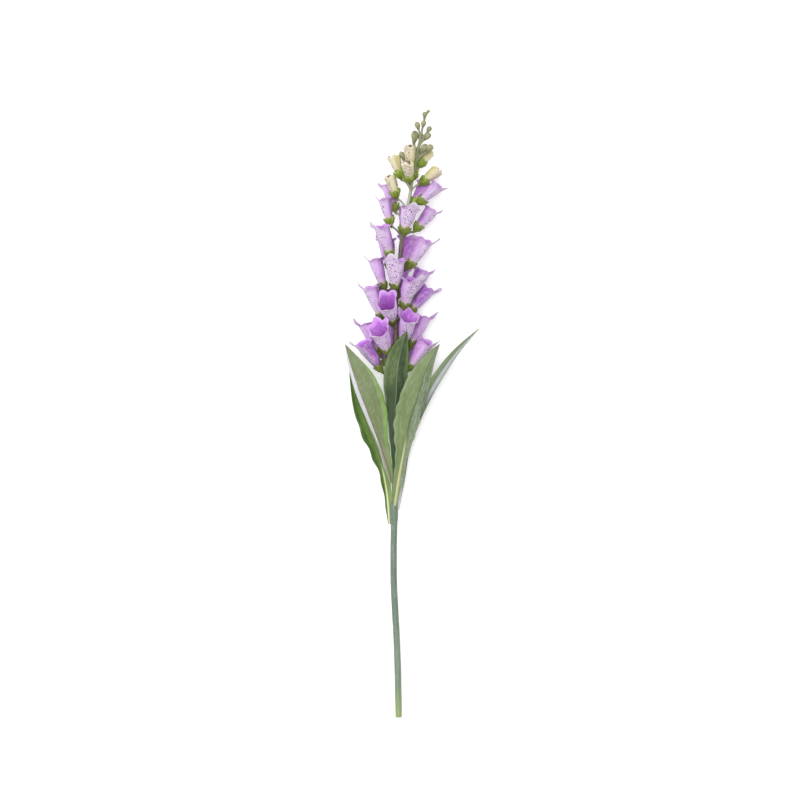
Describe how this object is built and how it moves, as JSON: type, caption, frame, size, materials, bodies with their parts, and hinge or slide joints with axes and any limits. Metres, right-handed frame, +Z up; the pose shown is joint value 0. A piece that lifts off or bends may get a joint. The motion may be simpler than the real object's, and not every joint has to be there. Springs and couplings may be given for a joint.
{
  "type": "artificial foxglove stem",
  "caption": "Lying artificial foxglove stem: plastic sleeve over a wire, broad leaves and a tapering spike of lilac and cream bell flowers with closed buds at the tip.",
  "frame": {"origin": "on the resting surface, under the middle of the lying stem's bounding box", "axes": "+Y along the stem, from the cut end to the tip of the spike; +Z up from the surface, the front of the stem facing up; +X to the right seen from above"},
  "size_m": [0.21, 0.9394, 0.1007],
  "materials": {
    "green_stem": "moulded plastic sleeve, grey-green with a fine powdery bloom, turning fresh green at the cut end",
    "green_stalk": "moulded plastic stalk, pedicels, calyces and buds, olive to fresh green",
    "steel": "drawn steel core wire",
    "leaf": "printed and veined polyester cloth, green above and paler below",
    "cream_bell": "dyed polyester cloth, cream with a pink rim and dark freckles",
    "lilac_bell": "dyed polyester cloth, lilac to purple with pale, dark-freckled lips"
  },
  "bodies": {
    "root": {"core_wire": "steel", "main_stem": "green_stem", "flower_stalk": "green_stalk", "leaf_1": "leaf", "leaf_2": "leaf", "leaf_3": "leaf", "leaf_4": "leaf", "leaf_5": "leaf", "bell_01": "cream_bell", "bell_02": "cream_bell", "bell_03": "cream_bell", "bell_04": "cream_bell", "bell_05": "cream_bell", "bell_06": "cream_bell", "bell_07": "cream_bell", "bell_08": "lilac_bell", "bell_09": "lilac_bell", "bell_10": "lilac_bell", "bell_11": "lilac_bell", "bell_12": "lilac_bell", "bell_13": "lilac_bell", "bell_14": "lilac_bell", "bell_15": "lilac_bell", "bell_16": "lilac_bell", "bell_17": "lilac_bell", "bell_18": "lilac_bell", "bell_19": "lilac_bell", "bell_20": "lilac_bell", "bell_21": "lilac_bell", "bell_22": "lilac_bell", "bell_23": "lilac_bell", "bell_24": "lilac_bell", "bell_25": "lilac_bell", "bell_26": "lilac_bell", "bell_27": "lilac_bell", "bell_28": "lilac_bell", "bell_29": "lilac_bell", "bell_30": "lilac_bell", "bell_31": "lilac_bell", "bell_32": "lilac_bell", "bell_33": "lilac_bell", "bell_34": "lilac_bell", "bell_35": "lilac_bell", "bell_36": "lilac_bell"}
  },
  "joints": []
}
